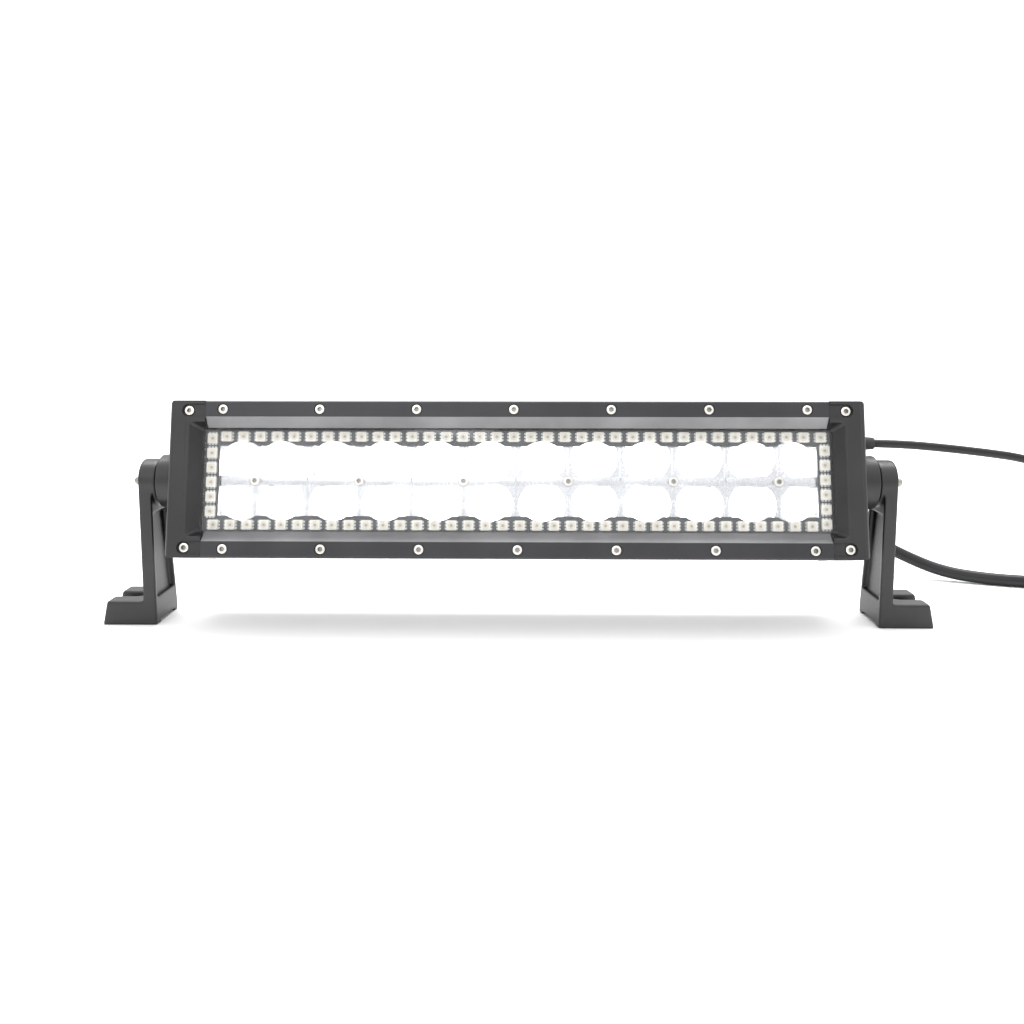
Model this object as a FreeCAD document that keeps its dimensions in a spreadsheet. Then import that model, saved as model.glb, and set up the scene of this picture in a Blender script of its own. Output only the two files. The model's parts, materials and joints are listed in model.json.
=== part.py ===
"""LED light bar: two rows of white LEDs in a reflector, a halo ring of small colour LEDs,
a finned aluminium housing with cast end caps, two cast foot brackets and two pigtail leads.

Frame: X along the bar, +Y towards the rear fins, +Z up, Z = 0 at the underside of the feet,
X = 0 midway between the end caps, Y = 0 at the bracket pivots. Millimetres.

The head is drawn in its own face frame first: X along the bar, Y the depth behind the front
face, Z the height above the middle of the face. on_head() then tilts it into place."""

import FreeCAD, Part
import math
import os
import Sketcher

Vector = FreeCAD.Vector
doc = FreeCAD.newDocument("led_light_bar")
sheet = doc.addObject("Spreadsheet::Sheet", "dims")

DIMENSIONS = [
    ("pivot_height", 73.4, "pivot axis above the underside of the feet"),
    ("face_tilt", 14.0, "degrees that the face leans back"),
    ("pivot_depth", 24.0, "pivot axis behind the front face"),
    ("centre_drop", 1.0, "middle of the face below the pivot axis"),
    ("bar_half", 171.5, "half the length over the end caps"),
    ("seam_half", 153.8, "half the length between the two seams"),
    ("face_half", 38.8, "half the height of the face"),
    ("housing_half", 153.0, "half the length of the extrusion"),
    ("housing_depth", 60.0, "front face to the tips of the fins"),
    ("bezel_depth", 6.2, "depth of the front rails"),
    ("flat_inner", 30.8, "inner edge of the flat of a rail"),
    ("window_half", 25.6, "half the height of the window"),
    ("window_end", 156.4, "half the length of the window"),
    ("funnel_end", 161.4, "half the length of the funnel at the face"),
    ("funnel_half", 28.4, "half the height of the funnel in a bezel end"),
    ("funnel_corner", 2.2, "rounding of a corner of the funnel"),
    ("funnel_lip", 1.1, "rounding of the lip of the funnel"),
    ("lens_thick", 3.0, "lens thickness"),
    ("lens_half", 29.6, "half the height of the lens"),
    ("lens_end", 160.0, "half the length of the lens"),
    ("cavity_half", 26.0, "half the height of the housing cavity"),
    ("cavity_floor", 33.4, "depth of the cavity floor"),
    ("back_wall", 39.0, "depth of the rear face of the back wall"),
    ("fin_thick", 2.2, "fin thickness"),
    ("fin_pitch", 9.0, "fin pitch"),
    ("fin_count", 8, "number of fins"),
    ("screw_pitch", 48.0, "pitch of the rail screws"),
    ("screw_line", 34.5, "rail screws above the middle of the face"),
    ("screw_shift", 1.0, "offset of the screw row along its rail"),
    ("screw_count", 7, "screws in a rail"),
    ("corner_x", 162.0, "corner screws from the middle of the bar"),
    ("corner_z", 33.9, "corner screws above the middle of the face"),
    ("board_depth", 12.2, "halo board behind the face"),
    ("board_thick", 1.2, "halo board thickness"),
    ("board_shift", 0.5, "halo board off the middle of the bar"),
    ("halo_pitch", 8.5, "pitch of the halo LEDs in a row"),
    ("halo_rows", 36, "halo LEDs in a row"),
    ("halo_row_z", 22.2, "halo rows above and below the middle"),
    ("halo_stagger", 2.7, "each row's offset along the bar"),
    ("halo_column_x", 153.2, "halo columns from the middle of the board"),
    ("halo_column_pitch", 7.35, "pitch of the halo LEDs in a column"),
    ("halo_column_top", 21.2, "end LED of a column above the middle"),
    ("halo_columns", 6, "halo LEDs in a column"),
    ("halo_led", 5.0, "side of a halo LED"),
    ("cup_pitch", 26.2, "pitch of the reflector cups"),
    ("cup_row", 11.8, "cup rows above and below the middle"),
    ("cup_count", 12, "cups in a row"),
    ("scallop_radius", 12.0, "scallops of the halo board round the cups"),
    ("scallop_rise", 8.0, "centres of the scallops above and below the middle"),
    ("cup_mouth", 12.6, "mouth radius of a cup"),
    ("cup_throat", 3.4, "throat radius of a cup"),
    ("reflector_front", 13.5, "front of the reflector behind the face"),
    ("reflector_back", 30.6, "back of the reflector behind the face"),
    ("hub_radius", 13.6, "pivot hub on an end cap"),
    ("hub_face", 181.5, "outer face of a hub from the middle"),
    ("bolt_radius", 4.0, "pivot bolt shank"),
    ("arm_inner", 184.4, "inner face of a bracket leg"),
    ("arm_outer", 191.0, "outer face of a bracket leg"),
    ("arm_radius", 11.5, "rounded top of a bracket leg"),
    ("seat_floor", 187.6, "floor of the bolt's seat in a leg, from the middle"),
    ("seat_radius", 5.6, "radius of the bolt's seat in a leg"),
    ("crown_radius", 2.2, "radius of the domed stud on a pivot bolt's head"),
    ("stud_reach", 7.0, "middle of the stud's dome above the seat floor"),
    ("foot_front", 11.2, "foot ahead of the pivot"),
    ("foot_rear", 20.3, "foot behind the pivot"),
    ("foot_out", 212.5, "outer end of a foot from the middle"),
    ("foot_rise", 12.5, "height of a foot"),
    ("foot_slope", 2.6, "run of the sloped outer end of a foot"),
    ("foot_round", 0.8, "rounding of the top edges of a foot"),
    ("slot_wide", 9.5, "width of the slot in a foot"),
    ("slot_inner", 199.5, "centre of the slot's round end from the middle"),
    ("grommet_depth", 31.0, "halo lead's grommet behind the front face"),
    ("grommet_rise", 22.0, "halo lead's grommet above the middle of the face"),
    ("main_lead_wide", 7.2, "outside diameter of the power lead"),
    ("halo_lead_wide", 4.4, "outside diameter of the halo lead"),
]
for index, (alias, number, meaning) in enumerate(DIMENSIONS, start=1):
    sheet.set("A%d" % index, alias)
    sheet.set("B%d" % index, str(number))
    sheet.set("C%d" % index, meaning)
    sheet.setAlias("B%d" % index, alias)
doc.recompute()

NODES = []


def value(expression):
    """The number that an expression over the sheet gives."""
    return float(sheet.evalExpression(str(expression)))


def bind(thing, **expressions):
    """Set properties of a document object from expressions."""
    for name, expression in expressions.items():
        thing.setExpression(name.replace("_at_", "."), str(expression))
    return thing


def solid(kind, name, at=(0, 0, 0), turn=None, **sizes):
    """A Part primitive whose sizes and place are bound to the sheet."""
    thing = doc.addObject(kind, name)
    rotation = FreeCAD.Rotation(Vector(*turn[0]), turn[1]) if turn else FreeCAD.Rotation()
    thing.Placement = FreeCAD.Placement(Vector(0, 0, 0), rotation)
    bind(thing, **sizes)
    for axis, expression in zip("xyz", at):
        thing.setExpression("Placement.Base." + axis, str(expression))
    return thing


def block(name, x, y, z):
    """A box between the pairs of expressions x, y and z."""
    spans = {side: "(%s) - (%s)" % (pair[1], pair[0])
             for side, pair in zip(("Length", "Width", "Height"), (x, y, z))}
    return solid("Part::Box", name, (x[0], y[0], z[0]), **spans)


TURNS = {"x": ((0, 1, 0), 90), "-x": ((0, 1, 0), -90), "y": ((1, 0, 0), -90), "z": None}


def rod(name, axis, at, radius, length):
    """A cylinder that starts at a point and runs along an axis."""
    return solid("Part::Cylinder", name, at, TURNS[axis], Radius=radius, Height=length)


def cone(name, axis, at, start, end, length):
    """A cone that starts at a point and runs along an axis."""
    return solid("Part::Cone", name, at, TURNS[axis], Radius1=start, Radius2=end, Height=length)


def joined(name, pieces):
    """One solid from several."""
    thing = doc.addObject("Part::MultiFuse", name)
    thing.Shapes = pieces
    thing.Refine = True
    return thing


def group(name, pieces):
    """Separate solids in one object."""
    thing = doc.addObject("Part::Compound", name)
    thing.Links = pieces
    return thing


def cut(name, base, tool):
    """A solid with another taken out of it."""
    thing = doc.addObject("Part::Cut", name)
    thing.Base = base
    thing.Tool = tool
    doc.recompute()
    if thing.Shape.Volume > base.Shape.Volume - 1e-6:
        raise RuntimeError(name + " cuts nothing")
    return thing


def rounded(name, base, radius, wanted):
    """Fillet the edges of base whose middle point and direction wanted() accepts."""
    doc.recompute()
    picked = []
    for number, edge in enumerate(base.Shape.Edges, start=1):
        middle = edge.valueAt((edge.FirstParameter + edge.LastParameter) / 2)
        ends = [vertex.Point for vertex in edge.Vertexes]
        along = (ends[-1] - ends[0]).normalize() if len(ends) == 2 else Vector(0, 0, 0)
        if wanted(middle, along):
            picked.append((number, value(radius), value(radius)))
    thing = doc.addObject("Part::Fillet", name)
    thing.Base = base
    thing.Edges = picked
    return thing


def copies(name, item, places):
    """Copies of one solid at several places, as separate solids in one node."""
    doc.recompute()
    shapes = []
    for place in places:
        shape = item.Shape.copy()
        shape.translate(Vector(*place))
        shapes.append(shape)
    thing = doc.addObject("Part::Feature", name)
    thing.Shape = Part.makeCompound(shapes)
    return thing


def extrusion(name, plane, outline, length, midplane=True):
    """A PartDesign body: a straight-sided outline, each corner bound to the sheet, padded."""
    body = doc.addObject("PartDesign::Body", name)
    sketch = body.newObject("Sketcher::SketchObject", name + "_outline")
    sketch.AttachmentSupport = [(part, "") for part in body.Origin.OriginFeatures if part.Role == plane]
    sketch.MapMode = "FlatFace"
    corners = [(value(first), value(second)) for first, second in outline]
    for start, end in zip(corners, corners[1:] + corners[:1]):
        sketch.addGeometry(Part.LineSegment(Vector(*start, 0), Vector(*end, 0)), False)
    for line, (first, second) in enumerate(outline):
        following = (line + 1) % len(outline)
        sketch.addConstraint(Sketcher.Constraint("Coincident", line, 2, following, 1))
        for kind, expression in (("DistanceX", first), ("DistanceY", second)):
            bound = sketch.addConstraint(
                Sketcher.Constraint(kind, -1, 1, line, 1, value(expression)))
            sketch.setExpression("Constraints[%d]" % bound, str(expression))
    pad = body.newObject("PartDesign::Pad", name + "_pad")
    pad.Profile = sketch
    pad.Midplane = midplane
    pad.setExpression("Length", str(length))
    doc.recompute()
    return body


def mirrored_outline(upper):
    """A closed outline from its upper half, listed from front to rear."""
    lower = [(depth, "-(%s)" % height) for depth, height in reversed(upper)]
    return upper + lower


def node(label, thing):
    """Publish a finished piece under its file name."""
    thing.Label = label
    NODES.append(thing)
    return thing


def placeable(label, thing):
    """A primitive keeps its own placement inside a compound that can be placed as a whole."""
    doc.recompute()
    if thing.Placement.isIdentity():
        return thing
    return group(label + "_piece", [thing])


def on_head(label, thing):
    """Publish a piece drawn in the face frame, leaned back about the pivot axis."""
    thing = placeable(label, thing)
    thing.Placement = FreeCAD.Placement(Vector(0, 0, 0), FreeCAD.Rotation(Vector(-1, 0, 0), 10))
    thing.setExpression("Placement.Rotation.Angle", "dims.face_tilt")
    thing.setExpression("Placement.Base.y", "-dims.pivot_depth * cos(dims.face_tilt * 1 deg)"
                        " - dims.centre_drop * sin(dims.face_tilt * 1 deg)")
    thing.setExpression("Placement.Base.z", "dims.pivot_height"
                        " + dims.pivot_depth * sin(dims.face_tilt * 1 deg)"
                        " - dims.centre_drop * cos(dims.face_tilt * 1 deg)")
    return node(label, thing)


def head_point(across, depth, rise):
    """A point of the face frame in the frame of the whole part."""
    tilt = math.radians(value("dims.face_tilt"))
    back = depth - value("dims.pivot_depth")
    up = rise - value("dims.centre_drop")
    return (across, back * math.cos(tilt) + up * math.sin(tilt),
            value("dims.pivot_height") - back * math.sin(tilt) + up * math.cos(tilt))


SIDES = (("left", -1), ("right", 1))


def span(side, inner, outer):
    """The pair of expressions for a run from inner to outer on one end of the bar."""
    return (inner, outer) if side > 0 else ("-(%s)" % outer, "-(%s)" % inner)


def outward(side):
    """The axis that points out of one end of the bar."""
    return "x" if side > 0 else "-x"


# ---------------------------------------------------------------- places of the fasteners
SCREW_COUNT = int(value("dims.screw_count"))
RAIL_SCREWS = {
    "top": [(number * value("dims.screw_pitch") - value("dims.screw_shift"), 0, value("dims.screw_line"))
            for number in range(-(SCREW_COUNT // 2), SCREW_COUNT // 2 + 1)],
    "bottom": [(number * value("dims.screw_pitch") + value("dims.screw_shift"), 0,
                -value("dims.screw_line"))
               for number in range(-(SCREW_COUNT // 2), SCREW_COUNT // 2 + 1)],
}
CORNERS = {side: [(sign * value("dims.corner_x"), 0, up * value("dims.corner_z")) for up in (1, -1)]
           for side, sign in SIDES}
REFLECTOR_SCREWS = [(number * value("dims.cup_pitch"), 0, 0) for number in (-5, -3, -1, 1, 3, 5)]
cup_half = (value("dims.cup_count") - 1) / 2
CUPS = [((number - cup_half) * value("dims.cup_pitch"), 0, sign * value("dims.cup_row"))
        for number in range(int(value("dims.cup_count"))) for sign in (1, -1)]
LAST_SCALLOP = 149.2 - value("dims.scallop_radius")
SCALLOPS = [(max(-LAST_SCALLOP, min(LAST_SCALLOP, across)), 0,
             math.copysign(value("dims.scallop_rise"), rise)) for across, depth, rise in CUPS]
CAP_SCREW_SEATS = [(18.5, 34.2), (18.5, -34.2), (36.2, 28.0), (36.2, -28.0)]


def socket_screw(name, head_top, head_radius, head_length, shank_radius, tip):
    """A small socket screw along Y: head, shank and a hexagonal socket."""
    head = rod(name + "_head", "y", (0, head_top, 0), head_radius, head_length)
    neck = "(%s) + (%s)" % (head_top, head_length)
    shank = rod(name + "_shank", "y", (0, neck, 0), shank_radius, "(%s) - (%s)" % (tip, neck))
    socket = solid("Part::Prism", name + "_socket", (0, "(%s) - 0.1" % head_top, 0), TURNS["y"],
                   Circumradius="(%s) * 0.55" % head_radius, Height="(%s) * 0.6" % head_length)
    return cut(name, joined(name + "_blank", [head, shank]), socket)


# ---------------------------------------------------------------- housing extrusion
housing_blank = extrusion("housing_blank", "YZ_Plane", mirrored_outline([
    ("dims.cavity_floor", "dims.cavity_half"),
    ("dims.bezel_depth + dims.lens_thick + 1.3", "dims.cavity_half"),
    ("dims.bezel_depth + dims.lens_thick + 1.3", "dims.flat_inner + 0.3"),
    ("dims.bezel_depth + 0.05", "dims.flat_inner + 0.3"),
    ("dims.bezel_depth + 0.05", "dims.face_half"),
    ("24", "dims.face_half"),
    ("32", "34.6"),
    ("dims.back_wall", "34.6"),
]), "dims.housing_half * 2")
first_fin = block("first_fin", ("-dims.housing_half", "dims.housing_half"),
                  ("dims.back_wall - 1", "dims.housing_depth"),
                  ("-dims.fin_thick / 2", "dims.fin_thick / 2"))
fin_offset = (value("dims.fin_count") - 1) / 2
fins = copies("fins", first_fin, [(0, 0, (number - fin_offset) * value("dims.fin_pitch"))
                                  for number in range(int(value("dims.fin_count")))])
rail_hole = rod("rail_hole", "y", (0, "dims.bezel_depth - 1", 0), "1.5", "11")
reflector_hole = rod("reflector_hole", "y", (0, "dims.cavity_floor - 1", 0), "1.25", "5.2")
side_hole = rod("side_hole", "x", ("dims.housing_half - 13", 0, 0), "1.5", "14")
side_hole_left = rod("side_hole_left", "-x", ("-dims.housing_half + 13", 0, 0), "1.5", "14")
housing_holes = group("housing_holes", [
    copies("rail_holes", rail_hole, RAIL_SCREWS["top"] + RAIL_SCREWS["bottom"]),
    copies("reflector_holes", reflector_hole, REFLECTOR_SCREWS),
    copies("side_holes_right", side_hole, [(0, depth, rise) for depth, rise in CAP_SCREW_SEATS]),
    copies("side_holes_left", side_hole_left, [(0, depth, rise) for depth, rise in CAP_SCREW_SEATS]),
])
housing_solid = joined("housing_solid", [housing_blank, fins])
on_head("housing_extrusion", cut("housing", housing_solid, housing_holes))

# ---------------------------------------------------------------- front rails and their screws
rail_outline = [
    ("dims.bezel_depth", "dims.window_half"),
    ("dims.bezel_depth - 1", "dims.window_half"),
    ("0.4", "dims.flat_inner - 0.4"),
    ("0", "dims.flat_inner"),
    ("0", "dims.face_half - 0.7"),
    ("0.7", "dims.face_half"),
    ("dims.bezel_depth", "dims.face_half"),
]
rail_sink = joined("rail_sink", [
    rod("rail_sink_mouth", "y", (0, "-0.5", 0), "2.75", "2.9"),
    rod("rail_sink_bore", "y", (0, "-0.5", 0), "1.5", "dims.bezel_depth + 1"),
])
rail_screw = socket_screw("rail_screw", "0", "2.45", "2.4", "1.5", "dims.bezel_depth + 9.6")
for place, sign in (("top", 1), ("bottom", -1)):
    outline = [(depth, "%d * (%s)" % (sign, rise)) for depth, rise in rail_outline]
    blank = extrusion("rail_blank_" + place, "YZ_Plane", outline, "dims.seam_half * 2 - 0.1")
    sinks = copies("rail_sinks_" + place, rail_sink, RAIL_SCREWS[place])
    on_head("front_rail_" + place, cut("rail_" + place, blank, sinks))
    on_head("rail_screws_" + place, copies("screws_" + place, rail_screw, RAIL_SCREWS[place]))

# ---------------------------------------------------------------- bezel ends, caps, hubs
EDGE = 3.0
corner_screw = socket_screw("corner_screw", "0.6", "2.45", "2.4", "1.5", "dims.bezel_depth + 8")
corner_sink = joined("corner_sink", [
    rod("corner_sink_mouth", "y", (0, "0", 0), "2.75", "3"),
    rod("corner_sink_bore", "y", (0, "0", 0), "1.5", "dims.bezel_depth + 8.4"),
])
corner_screws = []
for side, sign in SIDES:
    bar_end = value("dims.bar_half")
    face_top = value("dims.face_half")

    def outer_edges(middle, along):
        at_end = abs(abs(middle.x) - bar_end) < 0.01
        at_top = abs(abs(middle.z) - face_top) < 0.01
        return at_end and (at_top or (abs(middle.y) < 0.01 and abs(along.z) > 0.9))

    bezel_box = block("bezel_box_" + side, span(sign, "dims.seam_half", "dims.bar_half"),
                      ("0", "dims.bezel_depth"), ("-dims.face_half", "dims.face_half"))
    bezel_round = rounded("bezel_round_" + side, bezel_box, EDGE - 0.4, outer_edges)
    funnel = solid("Part::Wedge", "funnel_" + side, Xmin="-dims.funnel_end", Xmax="dims.funnel_end",
                   Ymin="0", Ymax="dims.bezel_depth", Zmin="-dims.funnel_half", Zmax="dims.funnel_half",
                   X2min="-dims.window_end", X2max="dims.window_end",
                   Z2min="-dims.window_half", Z2max="dims.window_half")
    funnel = rounded("funnel_round_" + side, funnel, "dims.funnel_corner",
                     lambda middle, along: abs(along.y) > 0.5)
    pocket = joined("pocket_" + side, [
        rod("pocket_end_" + side, "y", (0, "-0.5", 0), "3.3", "1.6"),
        block("pocket_run_" + side, span(sign, "-10", "0"), ("-0.5", "1.1"), ("-3.3", "3.3")),
    ])
    openings = group("bezel_openings_" + side, [
        funnel, copies("pockets_" + side, pocket, CORNERS[side]),
        copies("bezel_sinks_" + side, corner_sink, CORNERS[side]),
    ])
    bezel = cut("bezel_" + side, bezel_round, openings)

    def lip_edges(middle, along):
        inside = abs(middle.z) < value("dims.funnel_half") + 0.01
        return abs(middle.y) < 0.01 and inside and abs(middle.x) < value("dims.funnel_end") + 0.01

    on_head("bezel_end_" + side, rounded("bezel_lip_" + side, bezel, "dims.funnel_lip", lip_edges))
    corner_screws.append(copies("corner_screws_" + side, corner_screw, CORNERS[side]))

    cap_blank = extrusion("cap_blank_" + side, "YZ_Plane", mirrored_outline([
        ("dims.bezel_depth + 0.05", "dims.face_half"),
        ("25", "dims.face_half"),
        ("35", "35.8"),
        ("dims.housing_depth + 1", "33.4"),
    ]), "dims.bar_half - dims.seam_half", midplane=False)
    cap_blank.setExpression("Placement.Base.x", span(sign, "dims.seam_half", "dims.bar_half")[0])

    def cap_corner(middle, along):
        return abs(abs(middle.x) - bar_end) < 0.01 and middle.y > value("dims.bezel_depth") + 0.1

    cap_round = rounded("cap_round_" + side, cap_blank, EDGE - 0.4, cap_corner)
    on_axis = ("dims.pivot_depth", "dims.centre_drop")
    hub_foot = ("%d * (dims.bar_half - 1)" % sign,) + on_axis
    hub = rod("hub_" + side, outward(sign), hub_foot, "dims.hub_radius",
              "dims.hub_face - dims.bar_half + 1")
    skirt = cone("hub_skirt_" + side, outward(sign), hub_foot, "dims.hub_radius + 3",
                 "dims.hub_radius - 0.05", "4")
    hollows = [
        block("lens_seat_" + side, span(sign, "dims.seam_half - 1", "dims.lens_end + 0.2"),
              ("dims.bezel_depth", "dims.bezel_depth + dims.lens_thick + 1.3"),
              ("-dims.flat_inner - 0.3", "dims.flat_inner + 0.3")),
        block("board_seat_" + side, span(sign, "dims.seam_half - 1", "dims.window_end + 1.4"),
              ("dims.bezel_depth", "dims.reflector_back + 0.6"),
              ("-dims.cavity_half", "dims.cavity_half")),
        block("wire_bay_" + side, span(sign, "dims.seam_half - 1", "166"),
              ("15", "54"), ("-22", "22")),
        rod("bolt_hole_" + side, outward(sign), ("%d * 162" % sign,) + on_axis, "dims.bolt_radius", "25"),
        copies("corner_holes_" + side, rod("corner_hole_" + side, "y", (0, 0, 0), "1.5",
                                           "dims.bezel_depth + 8.4"), CORNERS[side]),
    ]
    seat = joined("side_seat_" + side, [
        rod("side_seat_head_" + side, outward(sign), ("%d * 163" % sign, 0, 0), "3.1", "12"),
        rod("side_seat_bore_" + side, outward(sign), ("%d * 150" % sign, 0, 0), "1.5", "20"),
    ])
    seat_places = [(0, depth, rise) for depth, rise in CAP_SCREW_SEATS]
    hollows.append(copies("side_seats_" + side, seat, seat_places))
    if side == "right":
        hollows.append(rod("main_gland_hole", "y", ("158.5", "50", "-9"), "4.5", "20"))
        hollows.append(rod("halo_grommet_hole", "x", ("160", "dims.grommet_depth", "dims.grommet_rise"),
                           "3.0", "20"))
    else:
        hollows.append(rod("vent_hole", "y", ("-160", "50", "0"), "3.0", "20"))
    cap_solid = joined("cap_solid_" + side, [cap_round, hub, skirt])
    on_head("end_cap_" + side, cut("cap_" + side, cap_solid, group("cap_hollows_" + side, hollows)))

    gasket_blank = extrusion("gasket_blank_" + side, "YZ_Plane", mirrored_outline([
        ("dims.bezel_depth + 5", "dims.face_half + 0.35"),
        ("24", "dims.face_half + 0.35"),
        ("32", "34.6"),
        ("dims.back_wall", "34.6"),
    ]), "dims.seam_half - dims.housing_half - 0.02", midplane=False)
    gasket_blank.setExpression("Placement.Base.x", span(sign, "dims.housing_half + 0.01",
                                                        "dims.seam_half - 0.01")[0])
    gasket_holes = [block("gasket_window_" + side, span(sign, "dims.housing_half - 1", "dims.seam_half + 1"),
                          ("dims.bezel_depth", "dims.cavity_floor"), ("-31.4", "31.4"))]
    gasket_bore = rod("gasket_bore_" + side, outward(sign), ("%d * 150" % sign, 0, 0), "1.5", "10")
    gasket_holes.append(copies("gasket_bores_" + side, gasket_bore,
                               [(0, depth, rise) for depth, rise in CAP_SCREW_SEATS]))
    on_head("cap_gasket_" + side, cut("gasket_" + side, gasket_blank,
                                      group("gasket_holes_" + side, gasket_holes)))

    screw_head = rod("side_head_" + side, outward(sign), ("%d * 163" % sign, 0, 0), "2.75", "3")
    screw_shank = rod("side_shank_" + side, outward(-sign), ("%d * 163" % sign, 0, 0), "1.5", "22")
    screw_socket = solid("Part::Prism", "side_socket_" + side, ("%d * 164.4" % sign, 0, 0),
                         TURNS[outward(sign)], Circumradius="1.5", Height="3")
    side_screw = cut("side_screw_" + side, joined("side_screw_blank_" + side, [screw_head, screw_shank]),
                     screw_socket)
    on_head("cap_screws_" + side, copies("side_screws_" + side, side_screw,
                                         [(0, depth, rise) for depth, rise in CAP_SCREW_SEATS]))
on_head("corner_screws", group("all_corner_screws", corner_screws))

# ---------------------------------------------------------------- lens and gasket
lens_back = "dims.bezel_depth + dims.lens_thick"
on_head("lens", block("lens_sheet", ("-dims.lens_end", "dims.lens_end"),
                      ("dims.bezel_depth + 0.05", lens_back), ("-dims.lens_half", "dims.lens_half")))
ring = block("ring_outer", ("-dims.lens_end", "dims.lens_end"), (lens_back, lens_back + " + 1.25"),
             ("-dims.flat_inner", "dims.flat_inner"))
ring_hole = block("ring_inner", ("-dims.window_end - 1.6", "dims.window_end + 1.6"), ("5", "20"),
                  ("-dims.cavity_half - 0.5", "dims.cavity_half + 0.5"))
on_head("lens_gasket", cut("lens_gasket_ring", ring, ring_hole))

# ---------------------------------------------------------------- halo board and its LEDs
board_back = "dims.board_depth + dims.board_thick"
board = block("board_sheet", ("-157.0 + dims.board_shift", "156.8 + dims.board_shift"),
              ("dims.board_depth", board_back), ("-25.3", "25.3"))
board_hole = block("board_hole", ("-149.6 + dims.board_shift", "149.6 + dims.board_shift"), ("5", "20"),
                   ("-17.6", "17.6"))
scallop = solid("Part::Cylinder", "scallop", (0, 5, 0), TURNS["y"],
                Radius="dims.scallop_radius", Height="15")
on_head("halo_board", cut("board_ring", board, group("board_openings", [
    board_hole, copies("scallops", scallop, SCALLOPS)])))

row_half = (value("dims.halo_rows") - 1) / 2 * value("dims.halo_pitch")
halo_places = []
for turn in (1, -1):
    for number in range(int(value("dims.halo_rows"))):
        across = turn * (value("dims.halo_stagger") - row_half + number * value("dims.halo_pitch"))
        halo_places.append((across + value("dims.board_shift"), 0, turn * value("dims.halo_row_z")))
    for number in range(int(value("dims.halo_columns"))):
        rise = turn * (value("dims.halo_column_top") - number * value("dims.halo_column_pitch"))
        halo_places.append((-turn * value("dims.halo_column_x") + value("dims.board_shift"), 0, rise))
halo_led = block("halo_led_one", ("-dims.halo_led / 2", "dims.halo_led / 2"),
                 ("dims.board_depth - 1.6", "dims.board_depth"), ("-dims.halo_led / 2", "dims.halo_led / 2"))
on_head("halo_leds", copies("halo_led_set", halo_led, halo_places))

# ---------------------------------------------------------------- reflector, LED board, heat pad
reflector_block = block("reflector_block", ("-dims.window_end - 0.9", "dims.window_end + 0.9"),
                        ("dims.reflector_front", "dims.reflector_back"), ("-24.8", "24.8"))
cup = cone("cup", "y", (0, "dims.reflector_front - 0.6", 0), "dims.cup_mouth", "dims.cup_throat",
           "dims.reflector_back - dims.reflector_front + 1.2")
screw_way = rod("screw_way", "y", (0, "dims.reflector_front - 1", 0), "1.25", "20")
on_head("reflector", cut("reflector_solid", reflector_block, group("reflector_cups", [
    copies("cups", cup, CUPS), copies("screw_ways", screw_way, REFLECTOR_SCREWS)])))
reflector_screw = socket_screw("reflector_screw", "dims.reflector_front - 2", "2.6", "2", "1.25", "37.5")
on_head("reflector_screws", copies("reflector_screw_set", reflector_screw, REFLECTOR_SCREWS))

screw_gap = rod("screw_gap", "y", (0, "30", 0), "1.4", "4")
board_gaps = copies("board_gaps", screw_gap, REFLECTOR_SCREWS)
led_board_blank = block("led_board_blank", ("-152.6", "152.6"), ("dims.reflector_back + 0.6", "32.8"),
                        ("-23", "23"))
on_head("led_board", cut("led_board_sheet", led_board_blank, board_gaps))
pad_gaps = copies("pad_gaps", screw_gap, REFLECTOR_SCREWS)
pad_blank = block("pad_blank", ("-152.6", "152.6"), ("32.8", "dims.cavity_floor"), ("-23", "23"))
on_head("thermal_pad", cut("thermal_sheet", pad_blank, pad_gaps))
emitter = joined("emitter", [
    block("emitter_base", ("-1.75", "1.75"), ("dims.reflector_back - 0.4", "dims.reflector_back + 0.6"),
          ("-1.75", "1.75")),
    solid("Part::Sphere", "emitter_dome", (0, "dims.reflector_back - 1", 0), Radius="1.5"),
])
on_head("white_leds", copies("emitters", emitter, CUPS))

# ---------------------------------------------------------------- halo controller in the right cap
on_head("controller_board", block("controller_sheet", ("163.6", "165"), ("26", "46"), ("-18", "14")))
on_head("controller_parts", group("controller_set", [
    block("controller_chip", ("162.4", "163.6"), ("30", "36"), ("-8", "-2")),
    block("controller_driver", ("162.6", "163.6"), ("38", "43"), ("-14", "-9")),
    rod("controller_capacitor", "-x", ("163.6", "32", "6"), "2.5", "5"),
    rod("controller_capacitor_two", "-x", ("163.6", "40", "4"), "2.5", "5"),
]))

# ---------------------------------------------------------------- glands, grommet and vent
gland_seat = "dims.housing_depth + 1"
main_gland = joined("main_gland_blank", [
    rod("gland_thread", "y", ("158.5", "51", "-9"), "4.5", "dims.housing_depth - 50"),
    solid("Part::Prism", "gland_hex", ("158.5", gland_seat, "-9"), TURNS["y"], Circumradius="8.2",
          Height="5"),
    rod("gland_collar", "y", ("158.5", gland_seat + " + 5", "-9"), "6.6", "3"),
])
gland_bore = rod("gland_bore", "y", ("158.5", "50", "-9"), "dims.main_lead_wide / 2", "30")
on_head("main_gland", cut("main_gland_solid", main_gland, gland_bore))
relief = cone("relief_cone", "y", ("158.5", gland_seat + " + 8", "-9"), "6", "4.6", "9")
relief_bore = rod("relief_bore", "y", ("158.5", "50", "-9"), "dims.main_lead_wide / 2", "50")
on_head("main_strain_relief", cut("main_relief", relief, relief_bore))
grommet = joined("grommet_blank", [
    rod("grommet_flange", "x", ("dims.bar_half", "dims.grommet_depth", "dims.grommet_rise"), "4.6", "2"),
    rod("grommet_plug", "x", ("165", "dims.grommet_depth", "dims.grommet_rise"), "3.0", "7"),
    cone("grommet_tail", "x", ("dims.bar_half + 2", "dims.grommet_depth", "dims.grommet_rise"),
         "4.0", "3.1", "11.5"),
])
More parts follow.
